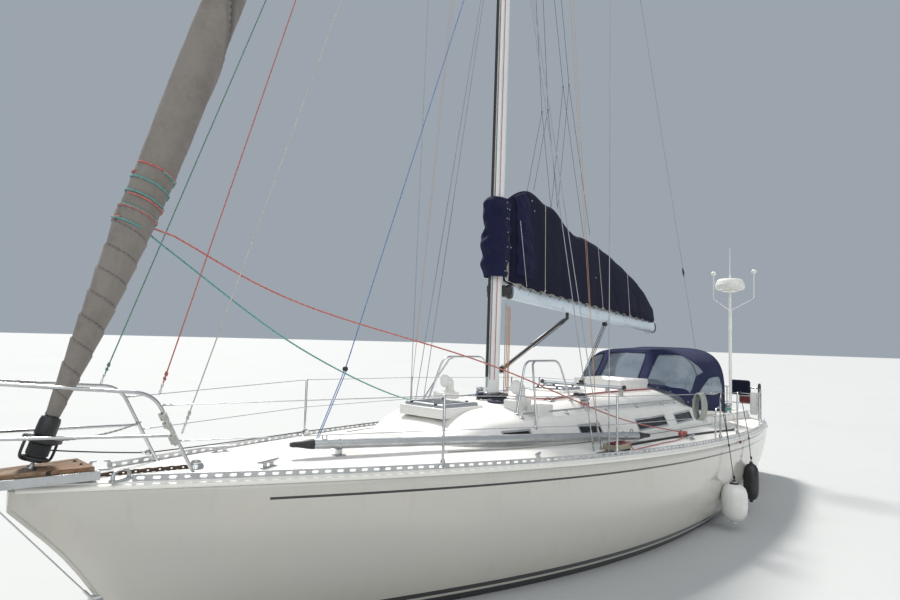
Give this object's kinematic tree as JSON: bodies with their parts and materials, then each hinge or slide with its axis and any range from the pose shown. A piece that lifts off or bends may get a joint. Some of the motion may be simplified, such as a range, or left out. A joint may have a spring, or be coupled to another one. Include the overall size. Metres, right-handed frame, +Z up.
{
  "type": "sailing yacht",
  "caption": "White fibreglass masthead sloop with a furled headsail, covered mainsail on its boom, a spray hood, fin keel, spade rudder and shaft drive.",
  "frame": {"origin": "on the centreline at the waterline, halfway along the deck", "axes": "+X towards the bow, +Y to port, +Z up"},
  "size_m": [12.6452, 3.9775, 19.04],
  "materials": {
    "gelcoat": "gloss white gelcoat",
    "deck_white": "satin white gelcoat with non-slip",
    "antifoul": "matt black bottom paint",
    "bronze": "bronze",
    "smoked": "smoked acrylic",
    "clear_vinyl": "clear vinyl",
    "teak": "weathered teak",
    "alloy": "anodised",
    "steel": "polished stainless",
    "spar_white": "white paint",
    "boom_grey": "pale grey paint",
    "black": "black",
    "navy_cloth": "navy acrylic canvas",
    "taupe_cloth": "taupe sun strip",
    "fender_white": "smooth vinyl",
    "fender_black": "smooth vinyl",
    "pale_rope": "braided, pale grey-green with dark flecks",
    "dark_rope": "braided, navy"
  },
  "bodies": {
    "hull": {"hull": "gelcoat", "radome": "gelcoat", "deck": "deck_white", "coachroof": "deck_white", "cockpit": "deck_white", "dorade_vent_port": "deck_white", "dorade_vent_starboard": "deck_white", "steering_pedestal": "deck_white", "keel": "antifoul", "shaft_strut": "bronze", "cabin_windows_port": "smoked", "cabin_windows_starboard": "smoked", "dodger_windows": "clear_vinyl", "bow_plank": "teak", "washboards": "teak", "toe_rail_port": "alloy", "toe_rail_starboard": "alloy", "bow_platform": "alloy", "spinnaker_pole": "alloy", "bobstay": "steel", "pulpit": "steel", "pushpit": "steel", "guardrail_port": "steel", "guardrail_starboard": "steel", "forestay": "steel", "backstay": "steel", "shrouds_port": "steel", "shrouds_starboard": "steel", "handrail_port": "steel", "handrail_starboard": "steel", "mast_guard_port": "steel", "mast_guard_starboard": "steel", "primary_winch_port": "steel", "primary_winch_starboard": "steel", "dodger_frame": "steel", "radar_pole": "steel", "mast": "spar_white", "furler_drum": "black", "traveller": "alloy", "genoa_track_port": "black", "genoa_track_starboard": "black", "cover_collar": "navy_cloth", "dodger_cloth": "navy_cloth", "furled_headsail": "taupe_cloth", "fender_white": "fender_white", "fender_black": "fender_black", "lifeline_coil": "pale_rope", "halyard_coil": "dark_rope"},
    "rudder": {"rudder": "antifoul"},
    "steering_wheel": {"steering_wheel": "steel"},
    "propeller": {"propeller": "bronze"},
    "boom": {"boom": "boom_grey", "vang": "black", "sail_cover": "navy_cloth"},
    "fore_hatch": {"fore_hatch": "smoked"},
    "saloon_hatch": {"saloon_hatch": "smoked"},
    "companion_slide": {"companion_slide": "deck_white"},
    "locker_lid_port": {"locker_lid_port": "deck_white"},
    "locker_lid_starboard": {"locker_lid_starboard": "deck_white"},
    "bow_roller": {"bow_roller": "black"}
  },
  "joints": [
    {"name": "rudder_turn", "type": "hinge", "parent": "hull", "child": "rudder", "pos_m": [-4.98, 0, -0.5], "axis": [0, 0, 1], "range_deg": [-35, 35]},
    {"name": "wheel_turn", "type": "hinge", "parent": "hull", "child": "steering_wheel", "pos_m": [-4.63, 0, 1.15], "axis": [1, 0, 0], "range_deg": [-225, 225]},
    {"name": "propeller_spin", "type": "hinge", "parent": "hull", "child": "propeller", "pos_m": [-1.9, 0, -0.42], "axis": [-0.9884, 0, -0.1521], "continuous": true},
    {"name": "boom_swing", "type": "hinge", "parent": "hull", "child": "boom", "pos_m": [1.05976, 0, 3.06], "axis": [0, 0, 1], "range_deg": [-65, 65]},
    {"name": "fore_hatch_lift", "type": "hinge", "parent": "hull", "child": "fore_hatch", "pos_m": [2.44, 0, 1.6903], "axis": [0, 1, 0], "range_deg": [0, 90]},
    {"name": "saloon_hatch_lift", "type": "hinge", "parent": "hull", "child": "saloon_hatch", "pos_m": [0.05, 0, 1.7783], "axis": [0, 1, 0], "range_deg": [0, 90]},
    {"name": "companion_slide_run", "type": "slide", "parent": "hull", "child": "companion_slide", "axis": [1, 0, 0], "range_m": [0, 0.6]},
    {"name": "locker_port_lift", "type": "hinge", "parent": "hull", "child": "locker_lid_port", "pos_m": [-3.8, 0.82, 0.706], "axis": [-1, 0, 0], "range_deg": [0, 80]},
    {"name": "locker_starboard_lift", "type": "hinge", "parent": "hull", "child": "locker_lid_starboard", "pos_m": [-3.8, -0.82, 0.706], "axis": [1, 0, 0], "range_deg": [0, 80]},
    {"name": "bow_roller_spin", "type": "hinge", "parent": "hull", "child": "bow_roller", "pos_m": [6.415, 0, 1.395], "axis": [0, 1, 0], "continuous": true}
  ],
  "couplings": [
    {"joint": "wheel_turn", "follows": "rudder_turn", "ratio": 6.4}
  ]
}
